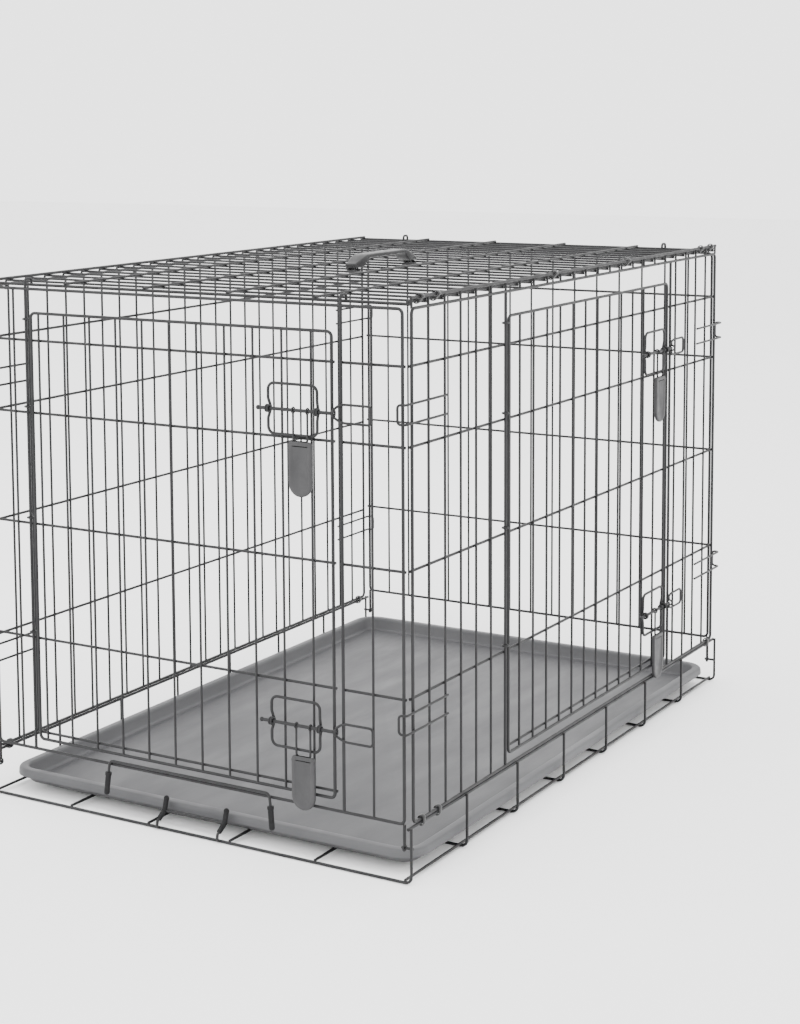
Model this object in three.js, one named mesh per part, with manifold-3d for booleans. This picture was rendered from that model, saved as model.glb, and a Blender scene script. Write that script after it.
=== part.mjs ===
// Folding wire dog crate: a shallow floor tray of wire, four wire walls hinged on it, a roof that
// rides on the right wall, a front door, a side door, slide-bolt latches and a plastic pan.
// Millimetres, +Z up. The front end, where the pan slides out, faces -Y; the long right wall faces +X.
// Wires are bars of square section with the area of the round wire they stand for.
import * as THREE from "three";
import { mergeVertices } from "three/addons/utils/BufferGeometryUtils.js";
import Module from "manifold-3d";

const wasm = await Module();
wasm.setup();

// Overall sizes
const crate_width = 711; // across the floor tray, X
const crate_length = 1067; // along the floor tray, Y
const crate_height = 762; // floor to the top wire of the right wall

// Wire diameters
const floor_wire = 4;
const frame_wire = 4.5; // round the edge of every panel
const rail_wire = 4; // lies across the upright wires
const mesh_wire = 3.5; // upright wires
const latch_wire = 4;
const hanger_wire = 3;
const bolt_wire = 4.8;

// Clearances
const touch_gap = 0.3; // between pieces that touch
const run_gap = 0.3; // between a round pivot and the wire in it
const fold_gap = 0.8; // between walls that fold past each other
const roof_gap = 0.9; // between the roof and the walls under it
const weld = 0.25; // how far welded wires sink into each other

// Floor tray and the heights at which the walls pivot, in the order in which they fold flat
const floor_cells_x = 5;
const floor_cells_y = 7;
const rear_pivot = 38.5;
const front_pivot = 47;
const left_rim = 62;
const right_rim = 74;
const rim_to_rail = 5; // from a rim wire up to the lowest wire of its wall
const end_wall_bottom = 78;

// Wire spacing
const side_spaces = 24;
const front_spaces = 15;
const rear_spaces = 16;
const roof_spaces = 24;
const roof_rows = 5;
const roof_hook_places = [1, 8, 16, 23]; // the cross wires that hook over the left wall
const roof_hook_drop = 13;
const rail_shares = [0.11, 0.265, 0.505, 0.755]; // of a wall's height, from the top
const lap = (mesh_wire + rail_wire) / 2 - 0.35; // between the planes of crossing wires

// Doors: the upright spaces, counted from the hinge side, that leave the doorway
const front_doorway = [1.5, 13];
const side_doorway = [6, 19.5];
const door_hinge_gap = 9;
const door_latch_gap = 14;
const door_top_drop = 34;
const door_bottom_rise = 16;
const door_sill_rise = 9; // from the door's lowest wire to the one above it
const hinge_loop_rise = 9;

// Latches
const latch_shares = [0.208, 0.838]; // of a wall's height, from the top
const latch_width = 76;
const latch_height = 67;
const latch_from_keeper = 34; // from the doorway's edge to the latch frame
const bolt_overhang = 11.5; // of the bolt past the latch frame
const bolt_stand_off = 1; // between the drawn bolt's tip and the keeper's eye
const grip_from_keeper = 58;
const grip_width = 36;
const grip_length = 70;
const grip_thickness = 5;
const hanger_span = 22;
const hanger_drop = 42;
const keeper_leg_spacing = 24;
const keeper_reach = 46.5;
const keeper_eye_inset = 7.5;

// Round eyes bent from wire
const eye_outer = 5;
const eye_length = 4;

// Corner catches on the side walls, hooks on the end walls
const catch_shares = [0.198, 0.797];
const catch_leg_spacing = 25;
const catch_reach = 24; // past the wall's end
const catch_spaces = 2; // how many spaces its legs span
const catch_turn_in = 11;
const hook_rise = 14;
const hook_reach = 14;
const hook_tip = 5;

// Ring clips
const clip_wall = 1.8;
const clip_length = 5;
const clip_gap = 0.38; // between a ring clip and the corners of the wires in it
const roof_clip_spaces = [0.5, 1.5, 9.5, 15.5, 22.5, 23.5];
const right_clip_spaces = [0.5, 1.5, 23.5];
const left_clip_spaces = [0.5, 23.5];
const roof_hinge_across = 4.8; // from the roof's edge wire to the hinge wire
const roof_hinge_up = 4.9;

// Pan
const pan_rim_height = 32;
const pan_floor_thickness = 2.5;
const pan_wall = 3;
const pan_rim_width = 15;
const pan_corner = 38;
const pan_front_setback = 25.5; // from the tray's front edge
const pan_rear_setback = 13.5;
const pan_side_gap = 2;
const pan_rest_gap = 0.6;

// Pan latch and pan stop
const pan_latch_span = 102;
const pan_latch_wire = 4.5;
const pan_stop_span = 270;
const pan_stop_foot = 26;
const pan_stop_foot_diameter = 8;
const pan_stop_gap = 4;

// Carry handle
const handle_length = 190;
const handle_width = 24;
const handle_height = 20;
const handle_thickness = 6;
const handle_spaces = 2; // from the middle of the roof to each clip
const handle_clip_length = 12;
const handle_clip_height = 4;

const barOf = (diameter) => (diameter * Math.sqrt(Math.PI)) / 2;

// Planes that the walls stand in, and what follows from them
const upright_x = crate_width / 2 - floor_wire / 2;
const upright_y = crate_length / 2 - floor_wire / 2;
const side_plane = upright_x - (barOf(floor_wire) + barOf(frame_wire)) / 2 + weld;
const end_plane = upright_y - barOf(floor_wire) + weld;
const wall_inset = lap + rail_wire / 2 + frame_wire / 2 + fold_gap;
const side_half = end_plane - wall_inset;
const end_half = side_plane - wall_inset;
const hinge_height = crate_height - frame_wire / 2;
const roof_edge_x = side_plane - roof_hinge_across;
const roof_row_height = hinge_height - roof_hinge_up;
const roof_cross_height = roof_row_height - lap;
const wall_top = roof_cross_height - frame_wire / 2 - roof_gap - frame_wire / 2;
const floor_low = barOf(floor_wire) / 2;
const floor_high = floor_low + barOf(floor_wire) - weld;

const steel = { color: 0x37373a, roughness: 0.42, metalness: 0.55 };
const plastic_black = { color: 0x1b1b1d, roughness: 0.5, metalness: 0 };
const plastic_grip = { color: 0x76757a, roughness: 0.6, metalness: 0 };
const plastic_pan = { color: 0x8d8d90, roughness: 0.62, metalness: 0 };

const crate = new THREE.Group();

// ---- solids ----

function toSolid(geometry) {
  const plain = geometry.clone();
  plain.deleteAttribute("normal");
  plain.deleteAttribute("uv");
  const merged = mergeVertices(plain, 1e-4);
  const solid = new wasm.Mesh({
    numProp: 3,
    vertProperties: merged.attributes.position.array,
    triVerts: new Uint32Array(merged.index.array),
  });
  return new wasm.Manifold(solid);
}

function toGeometry(solid) {
  const made = solid.getMesh();
  const geometry = new THREE.BufferGeometry();
  geometry.setAttribute("position", new THREE.BufferAttribute(made.vertProperties, 3));
  geometry.setIndex(new THREE.BufferAttribute(made.triVerts, 1));
  geometry.computeVertexNormals();
  return geometry;
}

function join(geometries) {
  return toGeometry(wasm.Manifold.union(geometries.map(toSolid)));
}

// A straight wire between two points, with its ends run on by half its width so that corners close.
function bar(from, to, diameter, run_on = barOf(diameter) / 2) {
  const start = new THREE.Vector3(...from);
  const end = new THREE.Vector3(...to);
  const along = end.clone().sub(start);
  const size = barOf(diameter);
  const geometry = new THREE.BoxGeometry(size, size, along.length() + 2 * run_on);
  const turn = new THREE.Quaternion();
  turn.setFromUnitVectors(new THREE.Vector3(0, 0, 1), along.clone().normalize());
  geometry.applyQuaternion(turn);
  const middle = start.add(end).multiplyScalar(0.5);
  return geometry.translate(middle.x, middle.y, middle.z);
}

// A bent wire: one bar for each pair of points.
function wire(points, diameter) {
  return points.slice(1).map((point, i) => bar(points[i], point, diameter));
}

function ringShape(hole, outer, sides) {
  const shape = new THREE.Shape();
  const inner = new THREE.Path();
  const half_step = Math.PI / sides;
  for (let i = 0; i < sides; i++) {
    const angle = half_step * (2 * i + 1);
    const place = i ? "lineTo" : "moveTo";
    shape[place](outer * Math.cos(angle), outer * Math.sin(angle));
    inner[place](hole * Math.cos(angle), hole * Math.sin(angle));
  }
  shape.holes.push(inner);
  return shape;
}

// An eye bent round a pivot that runs along one axis. bore is the radius that has to pass.
function eye(centre, axis, bore, length = eye_length, outer = eye_outer) {
  const hole = (bore + run_gap) / Math.cos(Math.PI / 8);
  const geometry = new THREE.ExtrudeGeometry(ringShape(hole, outer, 8), {
    depth: length,
    bevelEnabled: false,
  });
  geometry.translate(0, 0, -length / 2);
  if (axis === "x") geometry.rotateY(Math.PI / 2);
  return geometry.translate(...centre);
}

// Where a wire that joins an eye ends: halfway through the eye's wall.
function eyeWallMiddle(bore) {
  return (bore + run_gap + eye_outer * Math.cos(Math.PI / 8)) / 2;
}

// A flat ring clip round two parallel wires that run along Y, the first at the origin.
function ringClip(across, up) {
  const clip_hole = (barOf(frame_wire) / 2) * Math.SQRT2 + clip_gap;
  const spacing = Math.hypot(across, up);
  const outline = (radius, path) => {
    path.absarc(0, 0, radius, Math.PI / 2, (3 * Math.PI) / 2, false);
    path.absarc(spacing, 0, radius, -Math.PI / 2, Math.PI / 2, false);
    return path;
  };
  const shape = outline(clip_hole + clip_wall, new THREE.Shape());
  shape.holes.push(outline(clip_hole, new THREE.Path()));
  const geometry = new THREE.ExtrudeGeometry(shape, {
    depth: clip_length,
    bevelEnabled: false,
    curveSegments: 4,
  });
  geometry.translate(0, 0, -clip_length / 2);
  geometry.rotateX(Math.PI / 2);
  return geometry.rotateY(-Math.atan2(up, across));
}

function add(name, geometry, finish, group = crate) {
  const mesh = new THREE.Mesh(geometry, new THREE.MeshStandardMaterial(finish));
  mesh.name = name;
  group.add(mesh);
  return mesh;
}

// ---- floor tray ----

const crossWireY = (k) => -upright_y + (k * 2 * upright_y) / floor_cells_y;

function addFloorGrid() {
  const edge = upright_x - barOf(floor_wire) / 2 - touch_gap - barOf(floor_wire) / 2;
  const wires = [];
  for (let k = 0; k <= floor_cells_y; k++) {
    const y = crossWireY(k);
    wires.push(bar([-edge, y, floor_low], [edge, y, floor_low], floor_wire));
  }
  for (let k = 0; k <= floor_cells_x; k++) {
    const x = edge * ((2 * k) / floor_cells_x - 1);
    wires.push(bar([x, -upright_y, floor_high], [x, upright_y, floor_high], floor_wire));
  }
  add("floor_grid", join(wires), steel);
}

// The cross wires turned up along a long side, the rim wire over them and the end walls' pivot pins.
function addFloorRail(name, side, rim) {
  const x = side * upright_x;
  const rim_x = side * side_plane;
  const pin_x = side * (end_half - eye_length);
  const wires = [bar([rim_x, -upright_y, rim], [rim_x, upright_y, rim], frame_wire)];
  for (let k = 0; k <= floor_cells_y; k++) {
    const y = crossWireY(k);
    wires.push(bar([x, y, floor_low], [x, y, rim], floor_wire));
  }
  wires.push(bar([pin_x, -end_plane, front_pivot], [x, -end_plane, front_pivot], floor_wire, 0));
  wires.push(bar([pin_x, end_plane, rear_pivot], [x, end_plane, rear_pivot], floor_wire, 0));
  add(name, join(wires), steel);
}

// ---- walls, each built facing -Y with its middle at x = 0, then turned into place ----

function railHeights(bottom) {
  return rail_shares.map((share) => wall_top - share * (wall_top - bottom));
}

// One upright bay of a wall: its edge wires, mesh wires and rails from left to right.
function bay(left, right, places, bottom, top, rail_y, heights) {
  const wires = [];
  for (const x of [left, right]) wires.push(bar([x, 0, bottom], [x, 0, top], frame_wire));
  for (const x of places) {
    if (x > left + mesh_wire && x < right - mesh_wire)
      wires.push(bar([x, 0, bottom], [x, 0, top], mesh_wire, 0));
  }
  for (const z of heights) wires.push(bar([left, rail_y, z], [right, rail_y, z], rail_wire, 0));
  return wires;
}

function uprights(half, spaces) {
  return Array.from({ length: spaces + 1 }, (_, i) => half * ((2 * i) / spaces - 1));
}

function wallWires(half, spaces, bottom, top, rail_y, doorway) {
  const places = uprights(half, spaces);
  const heights = railHeights(bottom);
  const wires = [];
  for (const z of [bottom, top]) wires.push(bar([-half, 0, z], [half, 0, z], frame_wire));
  if (!doorway) return wires.concat(bay(-half, half, places, bottom, top, rail_y, heights));
  const [hinge_x, keeper_x] = doorway;
  wires.push(...bay(-half, hinge_x, places, bottom, top, rail_y, heights));
  wires.push(...bay(keeper_x, half, places, bottom, top, rail_y, heights));
  return wires;
}

// The legs of an end wall and the eyes that turn on the tray's pivot pins.
function pivotLegs(bottom, pivot) {
  const bore = (barOf(floor_wire) / 2) * Math.SQRT2;
  const wires = [];
  for (const x of [-end_half, end_half]) {
    wires.push(bar([x, 0, bottom], [x, 0, pivot + eyeWallMiddle(bore)], frame_wire, 0));
    wires.push(eye([x, 0, pivot], "x", bore));
  }
  return wires;
}

function addDoor(name, group, half, spaces, doorway, bottom) {
  const [hinge_x, keeper_x] = doorway;
  const left = hinge_x + door_hinge_gap;
  const right = keeper_x - door_latch_gap;
  const low = bottom + door_bottom_rise;
  const high = wall_top - door_top_drop;
  const heights = railHeights(bottom);
  const rails = heights.concat(low + door_sill_rise);
  const wires = bay(left, right, uprights(half, spaces), low, high, lap, rails);
  for (const z of [low, high]) wires.push(bar([left, 0, z], [right, 0, z], frame_wire));
  const bore = (barOf(frame_wire) / 2) * Math.SQRT2;
  const loops = heights.slice(1).map((z) => z + hinge_loop_rise);
  loops.push(high - hinge_loop_rise);
  for (const z of loops) {
    wires.push(eye([hinge_x, 0, z], "z", bore));
    wires.push(bar([hinge_x + eyeWallMiddle(bore), 0, z], [left, 0, z], rail_wire, 0));
  }
  add(name, join(wires), steel, group);
}

// ---- latches ----

const frame_face = barOf(frame_wire) / 2 + touch_gap;
const bolt_y = -(frame_face + eye_outer);
const bolt_radius = bolt_wire / 2;
const latch_y = -(frame_face + barOf(latch_wire) / 2);
const hanger_y = latch_y - barOf(latch_wire) / 2 - 0.5 - barOf(hanger_wire) / 2;
const eye_side = eyeWallMiddle(bolt_radius); // where wires join the side of a bolt's eye

function addLatchFrame(name, group, keeper_x, z) {
  const right = keeper_x - latch_from_keeper;
  const left = right - latch_width;
  const half = latch_height / 2;
  const parts = [];
  for (const side of [-1, 1]) {
    const end = z + side * half;
    parts.push(bar([left, latch_y, end], [right, latch_y, end], latch_wire));
    for (const x of [left, right])
      parts.push(bar([x, latch_y, z + side * eye_side], [x, latch_y, end], latch_wire, 0));
  }
  for (const x of [left, right]) parts.push(eye([x, bolt_y, z], "x", bolt_radius));
  add(name, join(parts), steel, group);
}

function addBolt(name, group, keeper_x, z) {
  const tip = keeper_x - keeper_eye_inset - eye_length / 2 - bolt_stand_off;
  const tail = keeper_x - latch_from_keeper - latch_width - bolt_overhang;
  const rod = new THREE.CylinderGeometry(bolt_radius, bolt_radius, tip - tail, 8);
  rod.rotateZ(Math.PI / 2);
  rod.translate((tip + tail) / 2, bolt_y, z);
  add(name, rod, steel, group);
}

function addHanger(name, group, keeper_x, z) {
  const middle = keeper_x - grip_from_keeper;
  const low = z - hanger_drop;
  const parts = [];
  for (const x of [middle - hanger_span / 2, middle + hanger_span / 2]) {
    parts.push(eye([x, bolt_y, z], "x", bolt_radius, barOf(hanger_wire)));
    parts.push(bar([x, hanger_y, z - eye_side], [x, hanger_y, low], hanger_wire, 0));
  }
  const from = [middle - hanger_span / 2, hanger_y, low];
  const to = [middle + hanger_span / 2, hanger_y, low];
  parts.push(bar(from, to, hanger_wire));
  add(name, join(parts), steel, group);
}

// A flat tab with a half-round lower end.
function addGrip(name, group, keeper_x, z) {
  const middle = keeper_x - grip_from_keeper;
  const top = z - hanger_drop - barOf(hanger_wire) / 2 - touch_gap;
  const radius = grip_width / 2;
  const shape = new THREE.Shape();
  shape.moveTo(middle + radius, top);
  shape.lineTo(middle - radius, top);
  shape.absellipse(middle, top - grip_length + radius, radius, radius, Math.PI, 2 * Math.PI, false);
  const tab = new THREE.ExtrudeGeometry(shape, {
    depth: grip_thickness,
    bevelEnabled: false,
    curveSegments: 8,
  });
  tab.rotateX(Math.PI / 2);
  tab.translate(0, hanger_y + grip_thickness / 2, 0);
  add(name, tab, plastic_grip, group);
}

// A hairpin across two upright wires that ends in the bolt's eye.
function addKeeper(name, group, keeper_x, z) {
  const y = -(frame_face + barOf(mesh_wire) / 2);
  const eye_x = keeper_x - keeper_eye_inset;
  const end_x = keeper_x + keeper_reach;
  const parts = [eye([eye_x, bolt_y, z], "x", bolt_radius)];
  for (const side of [-1, 1]) {
    const leg = z + (side * keeper_leg_spacing) / 2;
    parts.push(bar([eye_x, y, z + side * eye_side], [eye_x, y, leg], mesh_wire, 0));
    parts.push(bar([eye_x, y, leg], [end_x, y, leg], mesh_wire));
  }
  const half = keeper_leg_spacing / 2;
  parts.push(bar([end_x, y, z - half], [end_x, y, z + half], mesh_wire));
  add(name, join(parts), steel, group);
}

function addLatches(prefix, group, keeper_x, bottom) {
  latch_shares.forEach((share, i) => {
    const z = wall_top - share * (wall_top - bottom);
    const name = prefix + (i ? "_lower" : "_upper");
    addLatchFrame(name + "_latch_frame", group, keeper_x, z);
    addBolt(name + "_bolt", group, keeper_x, z);
    addHanger(name + "_hanger", group, keeper_x, z);
    addGrip(name + "_grip", group, keeper_x, z);
    addKeeper(name + "_keeper", group, keeper_x, z);
  });
}

// ---- spring hairpins and hooks ----

// Hairpins at both ends of a side wall that reach round the edges of the end walls.
function addCatches(prefix, group, bottom) {
  const y = -(frame_face + barOf(mesh_wire) / 2);
  const pitch = (2 * side_half) / side_spaces;
  catch_shares.forEach((share, i) => {
    const z = wall_top - share * (wall_top - bottom);
    for (const side of [-1, 1]) {
      const root = side * (side_half - catch_spaces * pitch);
      const tip = side * (side_half + catch_reach);
      const low = z - catch_leg_spacing / 2;
      const high = z + catch_leg_spacing / 2;
      const route = [
        [root, y, low],
        [tip, y, low],
        [tip, y + catch_turn_in, low],
        [tip, y + catch_turn_in, high],
        [tip, y, high],
        [root, y, high],
      ];
      const end = side < 0 ? "_left" : "_right";
      const level = i ? "_lower" : "_upper";
      add(prefix + level + "_catch" + end, join(wire(route, mesh_wire)), steel, group);
    }
  });
}

// A hook that reaches up from a wall's top wire and over the end wire of the roof.
function addHook(name, group, x) {
  const base = wall_top + frame_face + barOf(frame_wire) / 2;
  const top = wall_top + hook_rise;
  const route = [
    [x, 0, base],
    [x, 0, top],
    [x, hook_reach, top],
    [x, hook_reach, top - hook_tip],
  ];
  add(name, join(wire(route, frame_wire)), steel, group);
}

// ---- the four walls ----

function placed(x, y, quarter_turns) {
  const group = new THREE.Group();
  group.position.set(x, y, 0);
  group.rotation.z = (quarter_turns * Math.PI) / 2;
  crate.add(group);
  return group;
}

function doorwayOf(half, spaces, [from, to]) {
  const pitch = (2 * half) / spaces;
  return [-half + from * pitch, -half + to * pitch];
}

function addFrontWall() {
  const group = placed(0, -end_plane, 0);
  const doorway = doorwayOf(end_half, front_spaces, front_doorway);
  const wires = wallWires(end_half, front_spaces, end_wall_bottom, wall_top, lap, doorway);
  wires.push(...pivotLegs(end_wall_bottom, front_pivot));
  add("front_panel", join(wires), steel, group);
  addHook("front_hook_left", group, doorway[0]);
  addHook("front_hook_right", group, doorway[1]);
  addDoor("front_door", group, end_half, front_spaces, doorway, end_wall_bottom);
  addLatches("front", group, doorway[1], end_wall_bottom);
  addPanStop(group);
}

function addRearWall() {
  const group = placed(0, end_plane, 2);
  const wires = wallWires(end_half, rear_spaces, end_wall_bottom, wall_top, lap);
  wires.push(...pivotLegs(end_wall_bottom, rear_pivot));
  add("rear_panel", join(wires), steel, group);
  const hook_x = end_half * (1 - 4 / rear_spaces);
  addHook("rear_hook_left", group, -hook_x);
  addHook("rear_hook_right", group, hook_x);
}

function addRightWall() {
  const group = placed(side_plane, 0, 1);
  const bottom = right_rim + rim_to_rail;
  const doorway = doorwayOf(side_half, side_spaces, side_doorway);
  const wires = wallWires(side_half, side_spaces, bottom, wall_top, lap, doorway);
  wires.push(...hingeFence());
  add("right_panel", join(wires), steel, group);
  addDoor("side_door", group, side_half, side_spaces, doorway, bottom);
  addLatches("side", group, doorway[1], bottom);
  addCatches("right", group, bottom);
}

// The right wall's upright wires run on past its top rail to the wire that the roof hinges on.
function hingeFence() {
  const wires = [bar([-side_half, 0, hinge_height], [side_half, 0, hinge_height], frame_wire)];
  for (const x of uprights(side_half, side_spaces))
    wires.push(bar([x, 0, wall_top], [x, 0, hinge_height], mesh_wire, 0));
  return wires;
}

function addLeftWall() {
  const group = placed(-side_plane, 0, -1);
  const bottom = left_rim + rim_to_rail;
  const wires = wallWires(side_half, side_spaces, bottom, wall_top, -lap);
  add("left_panel", join(wires), steel, group);
  addCatches("left", group, bottom);
}

// ---- roof ----

function addRoof() {
  const hook_x = -side_plane - frame_face - barOf(mesh_wire) / 2 - touch_gap;
  const wires = [];
  const crossing = uprights(side_half, roof_spaces);
  crossing.forEach((y, i) => {
    const outer = i === 0 || i === roof_spaces;
    const diameter = outer ? frame_wire : mesh_wire;
    const right_x = roof_edge_x + barOf(frame_wire) / 2;
    wires.push(bar([hook_x, y, roof_cross_height], [right_x, y, roof_cross_height], diameter, 0));
  });
  for (let row = 0; row <= roof_rows; row++) {
    const x = roof_edge_x * ((2 * row) / roof_rows - 1);
    const edge = row === 0 || row === roof_rows;
    const from = [x, -side_half, roof_row_height];
    const to = [x, side_half, roof_row_height];
    wires.push(bar(from, to, edge ? frame_wire : rail_wire));
  }
  for (const i of roof_hook_places) {
    const y = crossing[i];
    const low = roof_cross_height - roof_hook_drop;
    wires.push(bar([hook_x, y, roof_cross_height], [hook_x, y, low], mesh_wire));
  }
  add("roof_panel", join(wires), steel);
}

function addRoofClips() {
  const pitch = (2 * side_half) / side_spaces;
  roof_clip_spaces.forEach((space, i) => {
    const clip = ringClip(-roof_hinge_across, -roof_hinge_up);
    clip.translate(side_plane, -side_half + space * pitch, hinge_height);
    add("roof_clip_" + (i + 1), clip, plastic_black);
  });
}

function addFloorClips(prefix, side, rim, spaces) {
  const pitch = (2 * side_half) / side_spaces;
  spaces.forEach((space, i) => {
    const clip = ringClip(0, rim_to_rail);
    clip.translate(side * side_plane, -side_half + space * pitch, rim);
    add(prefix + "_floor_clip_" + (i + 1), clip, plastic_black);
  });
}

// A low arch over the middle of the roof, with a clip under a cross wire at each end.
function addHandle() {
  const pitch = (2 * side_half) / roof_spaces;
  const base = roof_cross_height + barOf(mesh_wire) / 2 + touch_gap;
  const half = handle_length / 2;
  const foot = half - handle_spaces * pitch + handle_clip_length;
  const shape = new THREE.Shape();
  shape.moveTo(-half, base);
  shape.lineTo(-half + foot, base);
  shape.lineTo(-half + foot + handle_height, base + handle_height - handle_thickness);
  shape.lineTo(half - foot - handle_height, base + handle_height - handle_thickness);
  shape.lineTo(half - foot, base);
  shape.lineTo(half, base);
  shape.lineTo(half, base + handle_thickness);
  shape.quadraticCurveTo(half - foot / 2, base + handle_height, half - foot, base + handle_height);
  shape.lineTo(-half + foot, base + handle_height);
  shape.quadraticCurveTo(-half + foot / 2, base + handle_height, -half, base + handle_thickness);
  const arch = new THREE.ExtrudeGeometry(shape, {
    depth: handle_width,
    bevelEnabled: false,
    curveSegments: 4,
  });
  arch.translate(0, 0, -handle_width / 2);
  arch.rotateX(Math.PI / 2);
  arch.rotateZ(Math.PI / 2);
  add("handle_grip", arch, plastic_black);
  for (const side of [-1, 1]) {
    const under = roof_cross_height - barOf(mesh_wire) / 2 - touch_gap;
    const clip = new THREE.BoxGeometry(handle_width, handle_clip_length, handle_clip_height);
    clip.translate(0, side * handle_spaces * pitch, under - handle_clip_height / 2);
    add(side < 0 ? "handle_clip_front" : "handle_clip_rear", clip, plastic_black);
  }
}

// ---- pan, its latch and its stop ----

const pan_bottom = floor_high + barOf(floor_wire) / 2 + pan_rest_gap;
const pan_half_width = side_plane - frame_wire / 2 - pan_side_gap;
const pan_front = -crate_length / 2 + pan_front_setback;
const pan_rear = crate_length / 2 - pan_rear_setback;

function roundedSlab(inset, corner, from, to) {
  const x = pan_half_width - inset;
  const front = pan_front + inset;
  const rear = pan_rear - inset;
  const shape = new THREE.Shape();
  shape.absarc(x - corner, front + corner, corner, -Math.PI / 2, 0, false);
  shape.absarc(x - corner, rear - corner, corner, 0, Math.PI / 2, false);
  shape.absarc(-x + corner, rear - corner, corner, Math.PI / 2, Math.PI, false);
  shape.absarc(-x + corner, front + corner, corner, Math.PI, 1.5 * Math.PI, false);
  const slab = new THREE.ExtrudeGeometry(shape, {
    depth: to - from,
    bevelEnabled: false,
    curveSegments: 5,
  });
  return toSolid(slab.translate(0, 0, from));
}

function addPan() {
  const rim = roundedSlab(0, pan_corner, pan_rim_height - pan_floor_thickness, pan_rim_height);
  const body_corner = pan_corner - pan_rim_width;
  const body = roundedSlab(pan_rim_width, body_corner, pan_bottom, pan_rim_height);
  const pocket_inset = pan_rim_width + pan_wall;
  const pocket_corner = body_corner - pan_wall;
  const pocket_floor = pan_bottom + pan_floor_thickness;
  const pocket = roundedSlab(pocket_inset, pocket_corner, pocket_floor, pan_rim_height + 1);
  add("pan", toGeometry(rim.add(body).subtract(pocket)), plastic_pan);
}

// Two hooks that hang from the pan's front rim and close over the tray's front wire.
function addPanLatch() {
  const top_y = pan_front - touch_gap - barOf(pan_latch_wire) / 2;
  const top = pan_rim_height + 2;
  const wire_front = -upright_y - barOf(floor_wire) / 2;
  const foot_y = wire_front - touch_gap - barOf(pan_latch_wire) / 2;
  const foot = barOf(pan_latch_wire) / 2;
  const tie = (top + foot) / 2 + 3;
  const knee = floor_high + barOf(floor_wire) / 2 + pan_latch_wire;
  const parts = [];
  for (const x of [-pan_latch_span / 2, pan_latch_span / 2]) {
    const route = [
      [x, top_y, top],
      [x, top_y, tie],
      [x, foot_y, knee],
      [x, foot_y, foot],
    ];
    parts.push(...wire(route, pan_latch_wire));
  }
  const from = [-pan_latch_span / 2, top_y, tie];
  const to = [pan_latch_span / 2, top_y, tie];
  parts.push(bar(from, to, floor_wire));
  add("pan_latch", join(parts), steel);
}

// A wire bail on the front wall's lowest wire whose feet stand just over the pan's rim.
function addPanStop(group) {
  const half = pan_stop_span / 2;
  const y = -(frame_face + barOf(rail_wire) / 2);
  const top = end_wall_bottom + pan_stop_gap + barOf(rail_wire) / 2;
  const foot = pan_rim_height + pan_stop_gap;
  const route = [
    [-half, y, foot + pan_stop_foot],
    [-half, y, top],
    [half, y, top],
    [half, y, foot + pan_stop_foot],
  ];
  const parts = wire(route, rail_wire);
  for (const x of [-half, half]) {
    const boot = new THREE.CylinderGeometry(
      pan_stop_foot_diameter / 2,
      pan_stop_foot_diameter / 2,
      pan_stop_foot,
      8,
    );
    boot.rotateX(Math.PI / 2);
    parts.push(boot.translate(x, y - 2, foot + pan_stop_foot / 2));
  }
  add("pan_stop", join(parts), steel, group);
}

addFloorGrid();
addFloorRail("floor_rail_left", -1, left_rim);
addFloorRail("floor_rail_right", 1, right_rim);
addFrontWall();
addRearWall();
addRightWall();
addLeftWall();
addRoof();
addRoofClips();
addFloorClips("right", 1, right_rim, right_clip_spaces);
addFloorClips("left", -1, left_rim, left_clip_spaces);
addHandle();
addPan();
addPanLatch();

// The origin is on the floor under the middle of the whole crate.
const box = new THREE.Box3().setFromObject(crate);
crate.position.x = -(box.min.x + box.max.x) / 2;
crate.position.y = -(box.min.y + box.max.y) / 2;
crate.position.z = -box.min.z;

export default crate;
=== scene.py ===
"""Folding wire dog crate: round coated wires, slide-bolt latches, ring clips, carry handle and pan."""

from math import cos, pi, radians, sin, tan

import bmesh
import bpy
from mathutils import Matrix, Vector


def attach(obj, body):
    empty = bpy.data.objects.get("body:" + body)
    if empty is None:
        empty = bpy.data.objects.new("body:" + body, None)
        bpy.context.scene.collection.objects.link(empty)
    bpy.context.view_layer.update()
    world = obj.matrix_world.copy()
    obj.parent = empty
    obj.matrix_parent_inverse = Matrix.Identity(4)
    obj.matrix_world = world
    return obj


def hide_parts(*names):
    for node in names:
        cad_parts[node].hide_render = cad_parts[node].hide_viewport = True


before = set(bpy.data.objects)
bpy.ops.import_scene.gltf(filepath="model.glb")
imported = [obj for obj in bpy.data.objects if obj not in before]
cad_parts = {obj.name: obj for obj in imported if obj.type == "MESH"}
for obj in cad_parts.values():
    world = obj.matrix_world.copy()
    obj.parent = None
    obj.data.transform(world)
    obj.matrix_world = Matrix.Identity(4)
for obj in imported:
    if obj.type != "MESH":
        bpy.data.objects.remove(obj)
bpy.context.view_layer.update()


# Millimetres, as in the model; each finished piece is scaled to metres.
MM = 0.001
CRATE_SHIFT = -3.1088  # of the crate's middle from the origin, X

# Wires
FLOOR_WIRE = 4.0
FRAME_WIRE = 4.5
RAIL_WIRE = 4.0
MESH_WIRE = 3.5
LATCH_WIRE = 4.0
HANGER_WIRE = 3.0
BOLT_WIRE = 4.8
EYE_WIRE = 3.0
WIRE_SIDES = 10
ROUND_SIDES = 14  # of bolts and boots
LAP = 3.4  # between the planes of crossing wires
OVERHANG = 2.0  # of a rail past the frame it is welded to
FRAME_BEND = 7.0
TRAY_BEND = 9.0

# Drawing
STRAIGHT = 0.01  # radians, a corner too small to bend round
BEND_STEP = 0.3  # radians in one step of a bend
BEND_ROOM = 0.98  # the share of a leg's room that a bend may take
LOOP_STEPS = 14
TOUCHING = 0.05
NOISE_BAND = (0.3, 0.7)  # where most of a noise's values lie

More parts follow.
